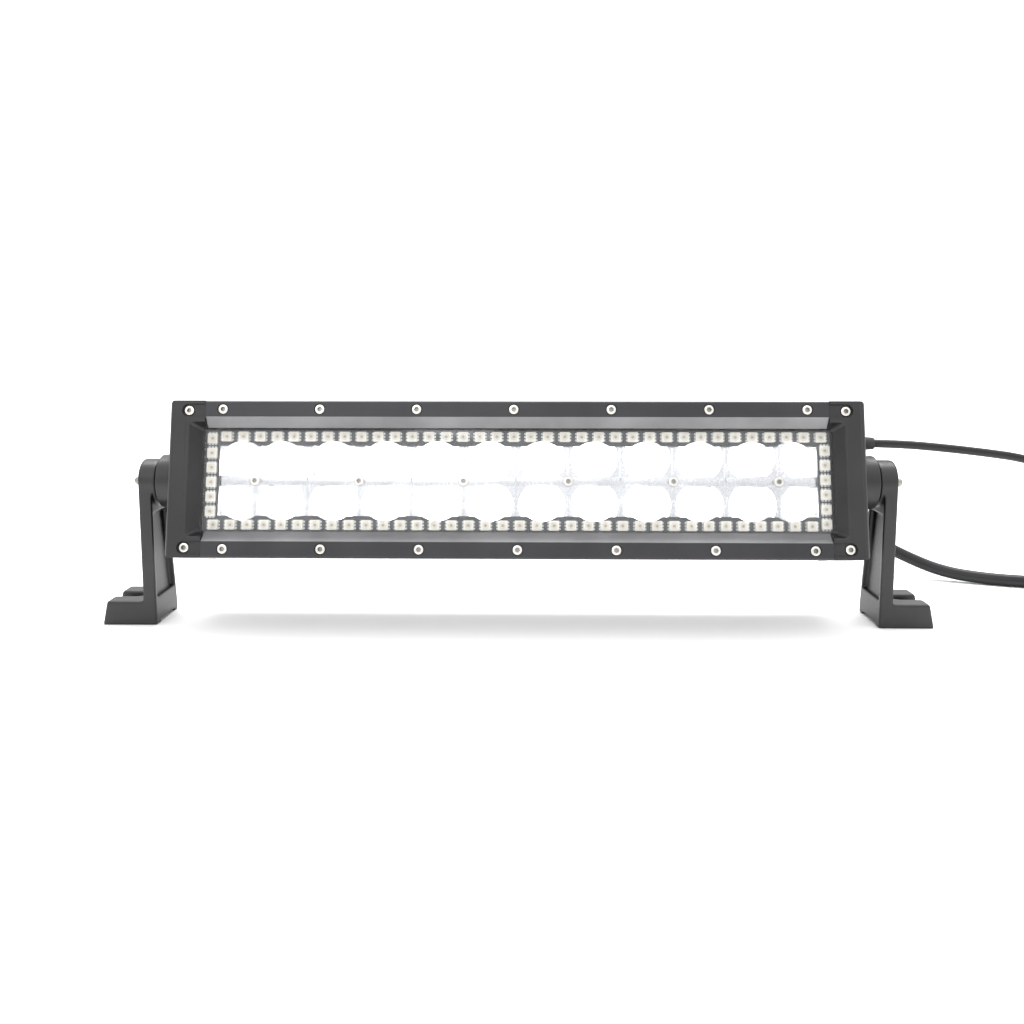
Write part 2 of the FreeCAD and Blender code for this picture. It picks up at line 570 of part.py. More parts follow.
grommet_bore = rod("grommet_bore", "x", ("160", "dims.grommet_depth", "dims.grommet_rise"),
                   "dims.halo_lead_wide / 2", "40")
on_head("halo_grommet", cut("grommet", grommet, grommet_bore))
vent_slot = joined("vent_slots", [
    block("vent_slot_one", ("-164", "-156"), (gland_seat + " + 3", gland_seat + " + 6"), ("-0.6", "0.6")),
    block("vent_slot_two", ("-160.6", "-159.4"), (gland_seat + " + 3", gland_seat + " + 6"), ("-4", "4")),
])
vent_blank = joined("vent_blank", [
    rod("vent_stem", "y", ("-160", "52", "0"), "3.0", "dims.housing_depth - 50"),
    rod("vent_head", "y", ("-160", gland_seat, "0"), "6", "4"),
])
on_head("vent_plug", cut("vent", vent_blank, vent_slot))

# ---------------------------------------------------------------- brackets and pivot hardware
slot_middle = "(dims.foot_rear - dims.foot_front) / 2"
for side, sign in SIDES:
    leg = extrusion("leg_" + side, "YZ_Plane", [
        ("-dims.foot_front", "0"),
        ("dims.foot_rear", "0"),
        ("dims.foot_rear", "6"),
        ("dims.arm_radius * 0.98", "dims.pivot_height - 2"),
        ("-dims.arm_radius * 0.98", "dims.pivot_height - 2"),
        ("-dims.foot_front", "6"),
    ], "dims.arm_outer - dims.arm_inner", midplane=False)
    leg.setExpression("Placement.Base.x", span(sign, "dims.arm_inner", "dims.arm_outer")[0])
    head = rod("leg_head_" + side, outward(sign), ("%d * dims.arm_inner" % sign, 0, "dims.pivot_height"),
               "dims.arm_radius", "dims.arm_outer - dims.arm_inner")
    foot = extrusion("foot_" + side, "XZ_Plane", [
        ("%d * (dims.arm_inner + 1)" % sign, "0"),
        ("%d * dims.foot_out" % sign, "0"),
        ("%d * (dims.foot_out - dims.foot_slope)" % sign, "dims.foot_rise"),
        ("%d * (dims.arm_inner + 1)" % sign, "dims.foot_rise"),
    ], "dims.foot_front + dims.foot_rear", midplane=True)
    foot.setExpression("Placement.Base.y", slot_middle)
    slot = joined("slot_" + side, [
        block("slot_run_" + side, span(sign, "dims.slot_inner", "dims.foot_out + 5"),
              (slot_middle + " - dims.slot_wide / 2", slot_middle + " + dims.slot_wide / 2"), ("-1", "20")),
        rod("slot_end_" + side, "z", ("%d * dims.slot_inner" % sign, slot_middle, "-1"),
            "dims.slot_wide / 2", "21"),
    ])
    foot_open = cut("foot_open_" + side, foot, slot)
    foot_tip = value("dims.foot_out") - value("dims.foot_slope")

    def soft_edges(middle, along):
        on_top = abs(middle.z - value("dims.foot_rise")) < 0.01 and abs(middle.x) > value("dims.arm_outer")
        on_slope = abs(abs(middle.x) - foot_tip) < value("dims.foot_slope") and 0.5 < middle.z < 12
        at_side = middle.y < 0 or middle.y > value("dims.foot_rear") - 0.1
        return on_top or (on_slope and at_side)

    foot_soft = rounded("foot_soft_" + side, foot_open, "dims.foot_round", soft_edges)
    pad = rod("pad_" + side, outward(sign), ("%d * (dims.hub_face + 0.7)" % sign, 0, "dims.pivot_height"),
              "dims.arm_radius", "dims.arm_inner - dims.hub_face - 0.6")
    window = extrusion("leg_window_" + side, "YZ_Plane", [
        ("-dims.foot_front + 3", "14"),
        ("dims.foot_rear - 3.6", "14"),
        ("dims.arm_radius - 2.2", "dims.pivot_height - 15.5"),
        ("-dims.arm_radius + 3.2", "dims.pivot_height - 15.5"),
    ], "3", midplane=False)
    window.setExpression("Placement.Base.x", span(sign, "dims.arm_inner - 0.6", "dims.arm_inner + 2.4")[0])
    relief_arch = block("arch_" + side, span(sign, "dims.arm_inner - 1", "dims.foot_out + 1"),
                        ("-dims.foot_front + 6", "dims.foot_rear - 5"), ("-1", "1.4"))
    removed = group("bracket_removed_" + side, [
        window, relief_arch,
        rod("bracket_bore_" + side, outward(sign), ("%d * 180" % sign, 0, "dims.pivot_height"),
            "dims.bolt_radius + 0.06", "15"),
        rod("bolt_seat_" + side, outward(sign), ("%d * dims.seat_floor" % sign, 0, "dims.pivot_height"),
            "dims.seat_radius", "6")])
    bracket = cut("bracket_" + side, joined("bracket_solid_" + side, [leg, head, foot_soft, pad]), removed)
    node("bracket_" + side, bracket)

    pivot = (0, "dims.pivot_height")
    friction = cut("friction_" + side,
                   rod("friction_disc_" + side, outward(sign), ("%d * dims.hub_face" % sign,) + pivot,
                       "dims.arm_radius - 0.3", "0.6"),
                   rod("friction_hole_" + side, outward(sign), ("%d * 180" % sign,) + pivot,
                       "dims.bolt_radius + 0.02", "5"))
    node("friction_washer_" + side, friction)
    washer = cut("washer_blank_" + side,
                 rod("washer_disc_" + side, outward(sign), ("%d * (dims.seat_floor + 0.05)" % sign,) + pivot,
                     "dims.seat_radius - 0.2", "0.8"),
                 rod("washer_hole_" + side, outward(sign), ("%d * 185" % sign,) + pivot,
                     "dims.bolt_radius + 0.02", "15"))
    node("pivot_washer_" + side, washer)
    under_head = "(dims.seat_floor + 0.9)"
    bolt = joined("pivot_bolt_blank_" + side, [
        solid("Part::Prism", "bolt_head_" + side, ("%d * %s" % (sign, under_head),) + pivot,
              TURNS[outward(sign)], Circumradius="dims.seat_radius - 0.6", Height="3.2"),
        rod("bolt_stud_" + side, outward(sign), ("%d * %s" % (sign, under_head),) + pivot,
            "dims.crown_radius", "dims.stud_reach - 0.9"),
        solid("Part::Sphere", "bolt_crown_" + side,
              ("%d * (dims.seat_floor + dims.stud_reach)" % sign,) + pivot,
              Radius="dims.crown_radius"),
        rod("bolt_shank_" + side, outward(-sign), ("%d * %s" % (sign, under_head),) + pivot,
            "dims.bolt_radius", "22"),
    ])
    node("pivot_bolt_" + side, bolt)


# ---------------------------------------------------------------- leads
def tube(name, route, wide):
    """A round tube along straight runs joined by arcs as large as the two runs allow."""
    points = [Vector(*point) for point in route]
    edges = []
    last = points[0]
    tightest = None
    for before, corner, after in zip(points, points[1:], points[2:]):
        inward = (before - corner).normalize()
        onward = (after - corner).normalize()
        turn = math.pi - inward.getAngle(onward)
        shorter = min((before - corner).Length, (after - corner).Length)
        reach = 0.45 * shorter
        radius = reach / math.tan(turn / 2)
        tightest = radius if tightest is None else min(radius, tightest)
        start = corner + inward * reach
        end = corner + onward * reach
        bisector = (inward + onward).normalize()
        centre = corner + bisector * (radius / math.cos(turn / 2))
        middle = centre - bisector * radius
        edges.append(Part.LineSegment(last, start).toShape())
        edges.append(Part.Arc(start, middle, end).toShape())
        last = end
    edges.append(Part.LineSegment(last, points[-1]).toShape())
    path = Part.Wire(edges)
    along = (points[1] - points[0]).normalize()
    section = Part.Wire(Part.makeCircle(wide / 2, points[0], along))
    shape = path.makePipeShell([section], True, False)
    expected = math.pi * wide * wide / 4 * path.Length
    print("%s: %.1f mm long, tightest radius %.1f mm = %.1f diameters, volume %.3f of expected"
          % (name, path.Length, tightest, tightest / wide, shape.Volume / expected))
    if abs(shape.Volume / expected - 1) > 0.01:
        raise RuntimeError(name + " has the wrong volume")
    thing = doc.addObject("Part::Feature", name)
    thing.Shape = shape
    return thing


main_start = head_point(158.5, value(gland_seat) + 17, -9)
MAIN_FLOOR = value("dims.main_lead_wide") / 2
PLUG_HALF = 7.0
BARREL_HALF = 5.5
MAIN_ROUTE = [
    main_start,
    head_point(158.8, value(gland_seat) + 35, -8.5),
    (165.5, 85, 43.2),
    (179.5, 98.5, 38.6),
    (198, 105, 32.2),
    (217, 104, 23.2),
    (236, 97.5, 13.2),
    (256, 88, 5.6),
    (277, 79.5, MAIN_FLOOR),
    (300, 71.5, MAIN_FLOOR),
    (323, 69, MAIN_FLOOR),
    (344, 73.5, PLUG_HALF),
    (364, 83, PLUG_HALF),
]
halo_start = head_point(value("dims.bar_half") + 13.5, value("dims.grommet_depth"),
                        value("dims.grommet_rise"))
HALO_ROUTE = [
    halo_start,
    (201, 12.6, 91.6),
    (221, 12.8, 89.8),
    (242, 12.2, 87.5),
    (263, 12, 84.6),
    (283, 12, 78),
    (302, 11.4, 65),
    (318, 10, 48),
    (332, 7.5, 29.5),
    (347, 3.5, 13.5),
    (366, -3.5, BARREL_HALF),
    (387, -13.5, BARREL_HALF),
]
node("main_lead", tube("main_lead_tube", MAIN_ROUTE, value("dims.main_lead_wide")))
node("halo_lead", tube("halo_lead_tube", HALO_ROUTE, value("dims.halo_lead_wide")))


def along_floor(thing, route):
    """Lay a plug that is drawn along +X from the origin at the far end of a route."""
    end = Vector(*route[-1])
    way = end - Vector(*route[-2])
    thing.Placement = FreeCAD.Placement(end, FreeCAD.Rotation(Vector(1, 0, 0), way))
    return thing


def lie_down(label, thing, route):
    """Publish one piece of a plug at the end of a lead."""
    return node(label, along_floor(placeable(label, thing), route))


main_plug = joined("main_plug_blank", [
    block("main_plug_box", ("12", "35"), ("-8", "8"), ("-7", "7")),
    block("main_plug_nose", ("35", "47"), ("-6.5", "6.5"), ("-5.5", "5.5")),
    block("main_plug_latch", ("23", "43"), ("-2.2", "2.2"), ("7", "9.2")),
])
main_plug_hollow = block("main_plug_hollow", ("39", "50"), ("-5", "5"), ("-4", "4"))
lie_down("main_plug", cut("main_plug_solid", main_plug, main_plug_hollow), MAIN_ROUTE)
lie_down("main_plug_pins", group("main_pins", [
    rod("main_pin_one", "x", ("39", "-2.4", "0"), "1.2", "7"),
    rod("main_pin_two", "x", ("39", "2.4", "0"), "1.2", "7"),
]), MAIN_ROUTE)
lie_down("main_plug_boot", cone("main_boot", "x", ("0", "0", "0"), "4.4", "6.2", "12"), MAIN_ROUTE)
halo_plug = cut("halo_plug_solid", joined("halo_plug_blank", [
    rod("halo_plug_barrel", "x", ("10", "0", "0"), "5.5", "20"),
    rod("halo_plug_nose", "x", ("30", "0", "0"), "4.2", "8"),
]), rod("halo_plug_hollow", "x", ("31", "0", "0"), "3.3", "10"))
lie_down("halo_plug", halo_plug, HALO_ROUTE)
lie_down("halo_plug_pins", group("halo_pins", [
    rod("halo_pin_%d" % number, "x", ("31", str(across), str(rise)), "0.5", "5")
    for number, (across, rise) in enumerate([(-1.3, -1.3), (1.3, -1.3), (-1.3, 1.3), (1.3, 1.3)])
]), HALO_ROUTE)
lie_down("halo_plug_boot", cone("halo_boot", "x", ("0", "0", "0"), "2.9", "4.6", "10"), HALO_ROUTE)

# ---------------------------------------------------------------- check and write
doc.recompute()
for thing in doc.Objects:
    if "Invalid" in thing.State or "Error" in thing.State:
        raise RuntimeError("%s is %s" % (thing.Label, thing.State))
os.makedirs("parts", exist_ok=True)
for thing in NODES:
    shape = thing.Shape
    if shape.isNull() or not shape.isValid() or shape.Volume <= 0:
        raise RuntimeError(thing.Label + " has no valid shape")
    shape.exportStep("parts/%s.step" % thing.Label)
print("wrote %d nodes" % len(NODES))
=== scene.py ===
# %% [markdown]
# # An LED light bar on its two foot brackets
# The bar is a black finned housing with a lit window, held between two cast brackets that
# turn on pivot bolts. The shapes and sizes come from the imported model, which is loaded first
# and never moved. This lesson gives every part its finish, and rebuilds the parts that need
# finer shapes than the model has: castings, screws, small LEDs, reflector cups and leads.

import json
import math

import bmesh
import bpy
from mathutils import Matrix, Vector

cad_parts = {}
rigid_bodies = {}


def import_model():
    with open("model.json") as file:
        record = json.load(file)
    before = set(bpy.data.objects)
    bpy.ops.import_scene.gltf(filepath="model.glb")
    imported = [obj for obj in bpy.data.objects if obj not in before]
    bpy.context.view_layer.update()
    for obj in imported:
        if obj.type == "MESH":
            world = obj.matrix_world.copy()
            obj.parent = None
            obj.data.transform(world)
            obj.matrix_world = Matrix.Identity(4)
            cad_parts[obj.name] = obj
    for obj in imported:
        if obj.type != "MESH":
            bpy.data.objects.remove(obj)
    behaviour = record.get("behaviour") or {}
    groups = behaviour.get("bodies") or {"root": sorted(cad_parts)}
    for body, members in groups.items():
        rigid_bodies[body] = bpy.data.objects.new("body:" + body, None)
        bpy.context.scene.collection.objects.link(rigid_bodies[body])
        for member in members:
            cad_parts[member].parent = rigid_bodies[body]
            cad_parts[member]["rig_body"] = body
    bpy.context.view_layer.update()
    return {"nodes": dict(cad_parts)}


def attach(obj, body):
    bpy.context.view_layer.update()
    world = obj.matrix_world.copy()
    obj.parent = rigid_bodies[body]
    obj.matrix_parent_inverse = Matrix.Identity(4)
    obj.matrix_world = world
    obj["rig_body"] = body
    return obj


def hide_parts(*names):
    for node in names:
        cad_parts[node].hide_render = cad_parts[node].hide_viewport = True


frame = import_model()
nodes = frame["nodes"]

# %% [markdown]
# ## The leaning head
# The bar leans back by 14 degrees about its pivots. It is easier to think about its parts in
# a frame of the face itself: across the bar, depth behind the face, and height above the
# middle of the face, in millimetres. One matrix carries that frame into the scene in metres.
# Its inverse tells where on the face a point of the model is.

# %% The frame of the face
MM = 0.001
TILT = math.radians(14.0)
PIVOT_HEIGHT = 73.4
PIVOT_DEPTH = 24.0
CENTRE_DROP = 1.0
LEAN = (
    Matrix.Scale(MM, 4)
    @ Matrix.Translation((0, 0, PIVOT_HEIGHT))
    @ Matrix.Rotation(-TILT, 4, "X")
    @ Matrix.Translation((0, -PIVOT_DEPTH, -CENTRE_DROP))
)
UNLEAN = LEAN.inverted()
print("middle of the face at", [round(c, 4) for c in LEAN @ Vector((0, 0, 0))])

# %% [markdown]
# ## Camera
# A long product shot from a little above the bar: the camera stands half a metre in front and
# looks slightly down, so the feet and the shadow on the table both show.

# %% Place the camera
camera_data = bpy.data.cameras.new("product_camera")
camera_data.sensor_width = 36.0
camera_data.lens = 35.156
camera_data.shift_y = -0.0557
camera_data.clip_start = 0.01
camera = bpy.data.objects.new("product_camera", camera_data)
camera.location = (0.00641, -0.5068, 0.15128)
camera.rotation_euler = (math.radians(90 - 7.212), 0, math.radians(0.965))
bpy.context.scene.collection.objects.link(camera)
bpy.context.scene.camera = camera
print("camera is", round(camera.location.length, 3), "m from the middle of the feet")

# %% [markdown]
# ## Finishes
# Nearly everything here is black, so the finishes differ by their gloss and grain and not by
# colour. Each is a node material that reads Object coordinates. A fine noise gives the bump
# of the powder coat or the moulding, and moves the roughness a little. A broad noise shifts
# the colour slightly, as handling and dust do. A stretch along one axis turns the same fine
# noise into the drawn lines of an extrusion.

# %% A helper for grained finishes
def grained(name, dark, light, rough, grain, height, metal=0.0, stretch=(1, 1, 1), patch=40.0,
            shine=0.5):
    """A finish with a broad change of colour and a fine grain in its bump and roughness."""
    made = bpy.data.materials.new(name)
    made.use_nodes = True
    tree = made.node_tree
    shader = tree.nodes["Principled BSDF"]
    where = tree.nodes.new("ShaderNodeTexCoord")
    turned = tree.nodes.new("ShaderNodeMapping")
    turned.inputs["Scale"].default_value = stretch
    tree.links.new(where.outputs["Object"], turned.inputs["Vector"])

    fine = tree.nodes.new("ShaderNodeTexNoise")
    fine.inputs["Scale"].default_value = grain
    fine.inputs["Detail"].default_value = 4.0
    tree.links.new(turned.outputs["Vector"], fine.inputs["Vector"])
    broad = tree.nodes.new("ShaderNodeTexNoise")
    broad.inputs["Scale"].default_value = patch
    broad.inputs["Detail"].default_value = 5.0
    tree.links.new(where.outputs["Object"], broad.inputs["Vector"])

    tint = tree.nodes.new("ShaderNodeValToRGB")
    tint.color_ramp.elements[0].position = 0.35
    tint.color_ramp.elements[0].color = (*dark, 1)
    tint.color_ramp.elements[1].position = 0.68
    tint.color_ramp.elements[1].color = (*light, 1)
    tree.links.new(broad.outputs["Fac"], tint.inputs["Fac"])
    tree.links.new(tint.outputs["Color"], shader.inputs["Base Color"])

    gloss = tree.nodes.new("ShaderNodeMapRange")
    gloss.inputs["From Min"].default_value = 0.3
    gloss.inputs["From Max"].default_value = 0.7
    gloss.inputs["To Min"].default_value = rough[0]
    gloss.inputs["To Max"].default_value = rough[1]
    tree.links.new(fine.outputs["Fac"], gloss.inputs["Value"])
    tree.links.new(gloss.outputs["Result"], shader.inputs["Roughness"])

    bump = tree.nodes.new("ShaderNodeBump")
    bump.inputs["Strength"].default_value = 0.6
    bump.inputs["Distance"].default_value = height
    tree.links.new(fine.outputs["Fac"], bump.inputs["Height"])
    tree.links.new(bump.outputs["Normal"], shader.inputs["Normal"])
    shader.inputs["Metallic"].default_value = metal
    shader.inputs["Specular IOR Level"].default_value = shine
    return made


# %% The finishes of this bar
cast_coat = grained("cast_powder_coat", (0.006, 0.006, 0.007), (0.012, 0.011, 0.012),
                    (0.34, 0.46), 2600, 0.00005, shine=0.45)
rail_coat = grained("rail_satin_coat", (0.012, 0.012, 0.014), (0.018, 0.018, 0.021),
                    (0.28, 0.38), 1500, 0.00001, stretch=(0.05, 1, 1), shine=0.42)
# A lighter, metallic copy of the rail coat for the slopes: painted light that stands for the LED
# light falling on them
slope_painted_light = grained("rail_slope_painted_light", (0.18, 0.18, 0.185), (0.24, 0.24, 0.245),
                     (0.30, 0.40), 1500, 0.00001, metal=0.75, stretch=(0.05, 1, 1))
steel = grained("bright_stainless", (0.60, 0.58, 0.55), (0.72, 0.70, 0.67),
                (0.16, 0.30), 2200, 0.00001, metal=1.0)
# A darker steel: painted shade inside the screw sockets, and the darker tone of the pivot bolts
socket_shade_and_dark_steel = grained("socket_shadow_steel", (0.20, 0.19, 0.17), (0.34, 0.32, 0.29),
                     (0.30, 0.45), 2200, 0.00002, metal=1.0)
rubber = grained("black_rubber", (0.016, 0.016, 0.016), (0.026, 0.026, 0.026),
                 (0.62, 0.78), 1800, 0.00004)
jacket = grained("lead_jacket", (0.007, 0.007, 0.008), (0.012, 0.012, 0.013),
                 (0.28, 0.38), 900, 0.00002, shine=0.28)
gasket_pale = grained("pale_gasket", (0.60, 0.58, 0.52), (0.76, 0.74, 0.68),
                      (0.55, 0.70), 1400, 0.00003)
board_black = grained("board_mask", (0.020, 0.022, 0.026), (0.032, 0.034, 0.040),
                      (0.30, 0.42), 1600, 0.00002)
led_white = grained("led_package", (0.82, 0.78, 0.70), (0.90, 0.87, 0.80),
                    (0.35, 0.48), 1500, 0.00001)
led_resin = grained("led_resin", (0.72, 0.67, 0.58), (0.82, 0.77, 0.67),
                    (0.12, 0.22), 1500, 0.00001, patch=900)
led_dies = grained("led_dies", (0.34, 0.31, 0.27), (0.52, 0.48, 0.42),
                   (0.20, 0.35), 2500, 0.00002, patch=2500)
tin = grained("tinned_leads", (0.55, 0.55, 0.54), (0.70, 0.70, 0.69),
              (0.25, 0.40), 2400, 0.00002, metal=1.0)
chrome = grained("cup_chrome", (0.90, 0.90, 0.91), (0.95, 0.95, 0.96),
                 (0.17, 0.22), 700, 0.000002, metal=1.0)
# A darker copy of the cup chrome for the rib fronts and the flat front: painted shade
shaded_rib_chrome = grained("shaded_rib_chrome", (0.52, 0.52, 0.54), (0.62, 0.62, 0.64),
                     (0.22, 0.30), 700, 0.000002, metal=1.0)
board_white = grained("white_board_mask", (0.80, 0.80, 0.79), (0.87, 0.87, 0.86),
                      (0.30, 0.42), 1600, 0.00002)
heat_grey = grained("heat_pad_silicone", (0.40, 0.44, 0.48), (0.50, 0.54, 0.58),
                    (0.60, 0.75), 1800, 0.00003)
moulded = grained("moulded_plastic", (0.020, 0.020, 0.022), (0.030, 0.030, 0.032),
                  (0.40, 0.52), 1900, 0.00003)
brass = grained("plated_contacts", (0.72, 0.56, 0.28), (0.84, 0.68, 0.38),
                (0.20, 0.32), 2200, 0.00001, metal=1.0)
print("made", len(bpy.data.materials), "finishes")

# %% [markdown]
# ## Lit LEDs and the clear cover
# The white LEDs are lit, so their domes give light. The cover is clear plastic, and light
# has to pass it both ways. Real glass stops the light of lamps in a path tracer, so the
# cover's material lets shadow rays straight through and acts as glass for all others.

# %% Light and cover finishes
lit = bpy.data.materials.new("lit_white_led")
lit.use_nodes = True
lit_shader = lit.node_tree.nodes["Principled BSDF"]
lit_shader.inputs["Base Color"].default_value = (1.0, 0.97, 0.88, 1)
lit_shader.inputs["Emission Color"].default_value = (0.95, 0.96, 1.0, 1)
lit_shader.inputs["Emission Strength"].default_value = 120.0

cover = bpy.data.materials.new("clear_cover")
cover.use_nodes = True
cover_tree = cover.node_tree
cover_shader = cover_tree.nodes["Principled BSDF"]
cover_shader.inputs["Base Color"].default_value = (0.97, 0.98, 0.985, 1)
cover_shader.inputs["Roughness"].default_value = 0.02
cover_shader.inputs["IOR"].default_value = 1.49
cover_shader.inputs["Transmission Weight"].default_value = 1.0
path = cover_tree.nodes.new("ShaderNodeLightPath")
through = cover_tree.nodes.new("ShaderNodeBsdfTransparent")
chosen = cover_tree.nodes.new("ShaderNodeMixShader")
cover_tree.links.new(path.outputs["Is Shadow Ray"], chosen.inputs["Fac"])
cover_tree.links.new(cover_shader.outputs["BSDF"], chosen.inputs[1])
cover_tree.links.new(through.outputs["BSDF"], chosen.inputs[2])
cover_tree.links.new(chosen.outputs["Shader"], cover_tree.nodes["Material Output"].inputs["Surface"])
print("the LEDs give light of strength", lit_shader.inputs["Emission Strength"].default_value)

# %% [markdown]
# ## The two leads
# A lead is one length of flexible cable that droops under its own weight. Each is a smooth
# NURBS line through a few control points with a round bevel, and its ends are clamped so it
# starts in its gland and stops in its plug. The thick power lead leaves the back of the bar
# and comes down to the table. The thin halo lead leaves the side and hangs down in an arc.

# %% Lay the leads
MAIN_LEAD = [
    (0.1585, 0.04998, 0.05063), (0.1588, 0.06740, 0.04659), (0.1655, 0.085, 0.0432),
    (0.1795, 0.0985, 0.0386), (0.198, 0.105, 0.0322), (0.217, 0.104, 0.0232),
    (0.236, 0.0975, 0.0132), (0.256, 0.088, 0.0056), (0.277, 0.0795, 0.0036),
    (0.300, 0.0715, 0.0036), (0.323, 0.069, 0.0036), (0.344, 0.0735, 0.007),
    (0.364, 0.083, 0.007),
]
HALO_LEAD = [
    (0.185, 0.01187, 0.09208), (0.201, 0.0126, 0.0916), (0.221, 0.0128, 0.0898),
    (0.242, 0.0122, 0.0875), (0.263, 0.012, 0.0846), (0.283, 0.012, 0.078),
    (0.302, 0.0114, 0.065), (0.318, 0.010, 0.048), (0.332, 0.0075, 0.0295),
    (0.347, 0.0035, 0.0135), (0.366, -0.0035, 0.0055), (0.387, -0.0135, 0.0055),
]


def lead(name, route, across, node):
    """A round cable along one smooth clamped line."""
    line = bpy.data.curves.new(name, "CURVE")
    line.dimensions = "3D"
    line.bevel_depth = across / 2
    line.bevel_resolution = 5
    line.resolution_u = 10
    line.use_fill_caps = True
    spline = line.splines.new("NURBS")
    spline.points.add(len(route) - 1)
    for point, place in zip(spline.points, route):
        point.co = (*place, 1)
    spline.order_u = 3
    spline.use_endpoint_u = True
    line.materials.append(jacket)
    laid = bpy.data.objects.new(name, line)
    bpy.context.scene.collection.objects.link(laid)
    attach(laid, "head")
    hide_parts(node)
    print(name, "is about", round(spline.calc_length(), 4), "m long")
    return laid


main_lead = lead("power_lead", MAIN_LEAD, 0.0072, "main_lead")
halo_lead = lead("ring_lead", HALO_LEAD, 0.0044, "halo_lead")

# %% [markdown]
# ## Soft edges on castings
# A cast or machined part never has a perfectly sharp edge, and the thin bright line that an
# edge catches says more about it than its faces do. Each such part starts as a copy of its
# model mesh. The copy's doubles are merged, its flat faces joined, and the sharp edges that
# the part wants soft are bevelled. Normals weighted by face area keep the flats flat.

# %% Helpers for pieces
def body_of_node(node):
    """The name of the body that a node of the model rides on."""
    return nodes[node]["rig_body"]


def finished(name, bm, materials, body, stands_for, flat_faces=True):
    """Write a bmesh to a new piece that rides on a body and stands for model nodes."""
    mesh = bpy.data.meshes.new(name)
    bm.to_mesh(mesh)
    bm.free()
    mesh.shade_smooth()
    mesh.set_sharp_from_angle(angle=math.radians(38))
    for material in materials:
        mesh.materials.append(material)
    piece = bpy.data.objects.new(name, mesh)
    bpy.context.scene.collection.objects.link(piece)
    if flat_faces:
        piece.modifiers.new("flat_faces", "WEIGHTED_NORMAL").keep_sharp = True
    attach(piece, body)
    if stands_for:
        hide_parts(*stands_for)
    return piece


def merged_copy(node):
    """A bmesh of a model node with its triangles merged and its flat faces joined."""
    bm = bmesh.new()
    bm.from_mesh(nodes[node].data)
    bmesh.ops.remove_doubles(bm, verts=bm.verts, dist=0.000004)
    bmesh.ops.dissolve_limit(bm, angle_limit=math.radians(0.8), verts=bm.verts, edges=bm.edges,
                             use_dissolve_boundaries=False, delimit={"NORMAL"})
    return bm


def is_sharp(edge):
    """Whether an edge turns by more than 38 degrees."""
    return len(edge.link_faces) == 2 and edge.calc_face_angle() > math.radians(38)


def softened(node, name, material, widths):
    """A copy of a node with its sharp edges bevelled by the width that widths() gives each."""
    bm = merged_copy(node)
    wanted = {}
    for edge in bm.edges:
        if is_sharp(edge):
            middle = (edge.verts[0].co + edge.verts[1].co) / 2
            width = widths(middle, UNLEAN @ middle, edge)
            if width:
                wanted.setdefault(width, []).append(edge)
    for width in sorted(wanted, reverse=True):
        still = [edge for edge in wanted[width] if edge.is_valid]
        bmesh.ops.bevel(bm, geom=still, offset=width * MM, offset_type="OFFSET", affect="EDGES",
                        segments=3, profile=0.5, material=-1, clamp_overlap=True)
    piece = finished(name, bm, [material], body_of_node(node), [node])
    print(name, "has", len(piece.data.polygons), "faces")
    return piece


# %% [markdown]
# ## Brackets
# The two brackets are castings with well rounded edges all over, inside corners too. A
# bevel can't round inside and outside corners of such a shape alike, so a fine voxel remesh
# of the model mesh gives an even skin, and a few rounds of smoothing wear its edges down.

# %% Round the brackets
def cast_skin(node, name, material, voxel, rounds):
    """A copy of a node as one even skin with worn edges."""
    mesh = bpy.data.meshes.new(name + "_skin")
    bm = merged_copy(node)
    bm.to_mesh(mesh)
    bm.free()
    rough = bpy.data.objects.new(name + "_skin", mesh)
    bpy.context.scene.collection.objects.link(rough)
    even = rough.modifiers.new("even", "REMESH")
    even.mode = "VOXEL"
    even.voxel_size = voxel * MM
    skin = bpy.data.meshes.new_from_object(rough.evaluated_get(bpy.context.evaluated_depsgraph_get()))
    bpy.data.objects.remove(rough)
    bm = bmesh.new()
    bm.from_mesh(skin)
    bpy.data.meshes.remove(skin)
    for _ in range(rounds):
        bmesh.ops.smooth_vert(bm, verts=bm.verts, factor=0.5, use_axis_x=True, use_axis_y=True,
                              use_axis_z=True)
    piece = finished(name, bm, [material], body_of_node(node), [node])
    print(name, "has", len(piece.data.polygons), "faces")
    return piece


for side in ("left", "right"):
    cast_skin("bracket_" + side, "cast_bracket_" + side, cast_coat, 0.5, 9)

# %% [markdown]
# ## Housing, rails and end caps
# The rails are cut from an extrusion, so their edges are crisp and catch one thin line. The
# end caps are castings: the lip of the opening down to the window is rounder, and so is the
# rim of the pivot hub. The rails' slopes get a lighter, metallic copy of the satin coat: painted
# light that stands for the LED light falling on them.

# %% Soften the head's shell
CRISP = 0.3  # bevel of a sawn or machined edge, mm
FINE = 0.15  # bevel of a short edge
LIP = 1.3  # bevel round the cast opening
HUB_RIM = 0.8  # bevel of the pivot hub
HOUSING_EDGE = 0.35
LIP_HALF_HEIGHT = 28.7
LIP_END = 161.9
LIP_CORNER = 156.5
WINDOW_DEPTH = 6.0
SLOPE_FROM = 25.8
SLOPE_TO = 30.7
HUB_FROM = 171.8
HUB_BORE_RIM = 9.0


def rail_edges(at, face, edge):
    on_bore = edge.calc_length() < 0.6 * MM
    return 0 if on_bore else CRISP


def bezel_edges(at, face, edge):
    inside = abs(face.z) < LIP_HALF_HEIGHT
    at_rim = abs(face.y) < 0.2 and abs(face.x) < LIP_END
    in_corner = 0.2 < face.y < WINDOW_DEPTH and abs(face.x) > LIP_CORNER
    if inside and (at_rim or in_corner):
        return LIP
    return FINE if edge.calc_length() < 0.7 * MM else CRISP


def cap_edges(at, face, edge):
    from_axis = math.hypot(face.y - PIVOT_DEPTH, face.z - CENTRE_DROP)
    if abs(face.x) > HUB_FROM and from_axis > HUB_BORE_RIM:
        return HUB_RIM
    return CRISP if edge.calc_length() > 2 * MM else 0


def housing_edges(at, face, edge):
    return HOUSING_EDGE if edge.calc_length() > 2 * MM else 0


